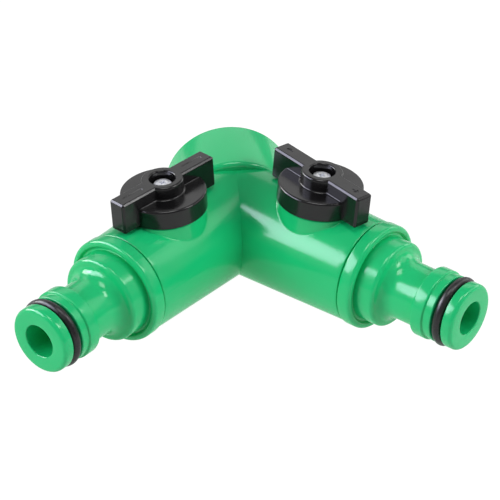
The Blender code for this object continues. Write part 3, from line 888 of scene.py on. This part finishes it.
for side in SIDES:
    knob = knob_bm(side)
    knob.transform(valves[side])
    piece = finished(f"{side}_wing_knob", knob, black, f"{side}_valve", f"{side}_knob",
                     KNOB_SHARP)
    weighted = piece.modifiers.new("flat faces lead", "WEIGHTED_NORMAL")
    weighted.keep_sharp = True
    weighted.weight = 100

# %% [markdown]
# ## The screws
# A small zinc-plated screw with a shallow domed head holds each knob. It could be a plain bright
# dot at this size, but its head is what glitters at the bottom of the hub. So the head is turned
# with a rounded rim and a dome, and its cross recess is cut with two tapered bars.

# %% Cross-head screws
SCREW_TOP = RECESS_FLOOR + CLEARANCE + 1.25 * MM
SCREW_RADIUS = 2.15 * MM
SHANK_RADIUS = 1.2 * MM
CROSS_DEPTH = 0.85 * MM
CROSS_TURN = 20


def cross_bar(turn):
    """One bar of the cross recess, narrower at its floor."""
    bar = block(1.35 * MM, 0.34 * MM, SCREW_TOP - CROSS_DEPTH, SCREW_TOP + OVERSHOOT)
    for vert in bar.verts:
        if vert.co.z < SCREW_TOP:
            vert.co.x *= 0.55
            vert.co.y *= 0.7
    bar.transform(Matrix.Rotation(math.radians(turn + CROSS_TURN), 4, "Z"))
    return bar


def screw_bm(side):
    """Screw with its shank, in place in the knob."""
    low = RECESS_FLOOR + CLEARANCE
    end = KNOB_BASE - 0.1 * MM
    outline = rounded([(end, 0, 0), (end, 0.7 * MM, 0), (end + 0.6 * MM, SHANK_RADIUS, 0),
                       (low, SHANK_RADIUS, 0), (low, SCREW_RADIUS, 0.1 * MM),
                       (SCREW_TOP - 0.22 * MM, SCREW_RADIUS, 0.14 * MM),
                       (SCREW_TOP, 1.3 * MM, 0.6 * MM), (SCREW_TOP, 0, 0)])
    screw = combined(turned(outline, 72, UPRIGHT), [cross_bar(0), cross_bar(90)], "DIFFERENCE")
    screw.transform(valves[side])
    return screw


for side in SIDES:
    finished(f"{side}_cross_screw", screw_bm(side), zinc, f"{side}_valve", f"{side}_knob_screw")

# %% [markdown]
# ## What stays from the solid model
# The balls, seats, stems and inner seals are hidden inside the valves. Their shapes are right as
# they are, so they stay, and only take on the finishes made above.

# %% Finishes for the inner parts
inner_finish = {"ball": acetal, "seat": acetal, "stem": acetal, "seal": rubber, "ring": rubber}
for name, node in frame["nodes"].items():
    kept = [finish for word, finish in inner_finish.items() if name.endswith(word)]
    if kept and not node.hide_render:
        node.data.materials.clear()
        node.data.materials.append(kept[0])
        print("kept:", name)

# %% [markdown]
# ## The floor
# The object lies on a plain white sweep that shows no shadow at all. A single white floor can't do
# both of its jobs: bright enough to look pure white, it would flood the glossy plastic with light
# from below. So there are two sheets. The paper is all that the camera sees. The card just under it
# is hidden from the camera, and throws the soft light that fills the undersides.

# %% Floor
def ground(name, drop, material_name, darkest, lightest, glow):
    """A round sheet just under the object, with a faint grain and a glow of its own."""
    bm = bmesh.new()
    bmesh.ops.create_circle(bm, cap_ends=True, segments=96, radius=1.6)
    sheet = scratch(name, bm)
    sheet.location.z = solid_low.z - drop
    material, shader = new_material(material_name, 0.9, specular=0.2)
    tree = material.node_tree
    grain = blended(tree, noise(tree, 90, 3.0), [darkest] * 3, [lightest] * 3)
    tree.links.new(grain, shader.inputs["Base Color"])
    shader.inputs["Emission Color"].default_value = (1, 1, 1, 1)
    shader.inputs["Emission Strength"].default_value = glow
    sheet.data.materials.append(material)
    print(f"{name}: {drop / MM:.2f} mm under the object, glow {glow}")
    return sheet


paper = ground("studio_floor", 0.05 * MM, "white_paper", 0.05, 0.07, 1.0)
paper.visible_diffuse = False
paper.visible_glossy = False
card = ground("studio_floor_bounce", 0.08 * MM, "grey_card", 0.86, 0.9, 0.42)
card.visible_camera = False

# %% [markdown]
# ## Light
# Glossy plastic is only as good as what it mirrors, so the light comes from rectangular panels, and
# each has one task. A wide cool window on the left draws the pale band along the right arm. A dim
# window and a small strip on the right do the same, more weakly, for the left arm and its knob. The
# panels behind give the knobs' tops and edges their sheen. Two fills light the plastic from the
# front without showing in it: they are hidden from glossy rays, as the windows are from diffuse
# ones, so that brightness and reflections can be set apart from each other.


# %% Light panels
def panel(name, azimuth, elevation, distance, width, height, radiance, colour=(1, 1, 1),
          glossy=True, diffuse=True):
    """A rectangular light that faces the object; azimuth 0 is in front, 90 on the right."""
    light = bpy.data.lights.new(name, "AREA")
    light.shape = "RECTANGLE"
    light.size = width
    light.size_y = height
    light.energy = radiance * width * height * math.pi
    light.color = colour
    item = bpy.data.objects.new(name, light)
    bpy.context.scene.collection.objects.link(item)
    turn, rise = math.radians(azimuth), math.radians(elevation)
    toward = Vector((math.sin(turn) * math.cos(rise), -math.cos(turn) * math.cos(rise), math.sin(rise)))
    item.location = apex + toward * distance
    item.rotation_mode = "QUATERNION"
    item.rotation_quaternion = toward.to_track_quat("Z", "Y")
    item.visible_glossy = glossy
    item.visible_diffuse = diffuse
    print(f"{name}: azimuth {azimuth}, elevation {elevation}, {light.energy:.2f} W")


panel("left_window", -93, 35, 0.8, 0.66, 0.42, 9.2, (0.80, 0.80, 1.0), diffuse=False)
panel("right_window", 100, 33, 0.8, 0.40, 0.44, 1.2, diffuse=False)
panel("right_strip", 74, 51, 0.8, 0.20, 0.26, 8.0, diffuse=False)
panel("back_wall", 178, 30, 0.9, 1.3, 0.4, 0.85)
panel("back_left", -119, 20, 0.8, 0.40, 0.34, 9.0, diffuse=False)
panel("back_right", 122, 14, 0.8, 0.40, 0.26, 2.0)
panel("overhead", 0, 84, 0.9, 0.34, 0.34, 5.4)
panel("left_fill", -76, 20, 1.0, 0.5, 0.5, 8.6, glossy=False)
panel("right_fill", 70, 24, 1.0, 0.5, 0.5, 7.2, glossy=False)

# %% The even light of the room
world = bpy.data.worlds.new("studio_air")
world.use_nodes = True
background = world.node_tree.nodes["Background"]
background.inputs["Color"].default_value = (1, 1, 1, 1)
background.inputs["Strength"].default_value = 0.24
bpy.context.scene.world = world
bpy.context.scene.view_settings.view_transform = "Standard"
print("room light:", round(background.inputs["Strength"].default_value, 2))

# %% [markdown]
# ## The camera
# A long lens from about half a metre, well above the object and a little to the left, keeps the two
# arms nearly free of perspective. The camera is described by its direction, distance and roll about
# the apex, which are easier to adjust than a bare position and rotation.

# %% Camera
CAMERA_AZIMUTH = math.radians(-7.071)
CAMERA_ELEVATION = math.radians(34.385)
CAMERA_ROLL = math.radians(1.153)
CAMERA_DISTANCE = 553.94 * MM
CAMERA_LENS = 159.18
AIM_RIGHT, AIM_UP = 4.065 * MM, -9.788 * MM

toward_camera = Vector((math.sin(CAMERA_AZIMUTH) * math.cos(CAMERA_ELEVATION),
                        -math.cos(CAMERA_AZIMUTH) * math.cos(CAMERA_ELEVATION),
                        math.sin(CAMERA_ELEVATION)))
level_right = (-toward_camera).cross(Vector((0, 0, 1))).normalized()
level_up = level_right.cross(-toward_camera)
camera_up = -math.sin(CAMERA_ROLL) * level_right + math.cos(CAMERA_ROLL) * level_up
camera_right = math.cos(CAMERA_ROLL) * level_right + math.sin(CAMERA_ROLL) * level_up
lens = bpy.data.cameras.new("camera")
lens.lens = CAMERA_LENS
lens.sensor_width = 36
camera = bpy.data.objects.new("camera", lens)
bpy.context.scene.collection.objects.link(camera)
axes = Matrix((camera_right, camera_up, toward_camera)).transposed().to_4x4()
aim = apex + camera_right * AIM_RIGHT + camera_up * AIM_UP
camera.matrix_world = Matrix.Translation(aim + toward_camera * CAMERA_DISTANCE) @ axes
bpy.context.scene.camera = camera
print("camera, mm:", [round(value / MM) for value in camera.matrix_world.translation])
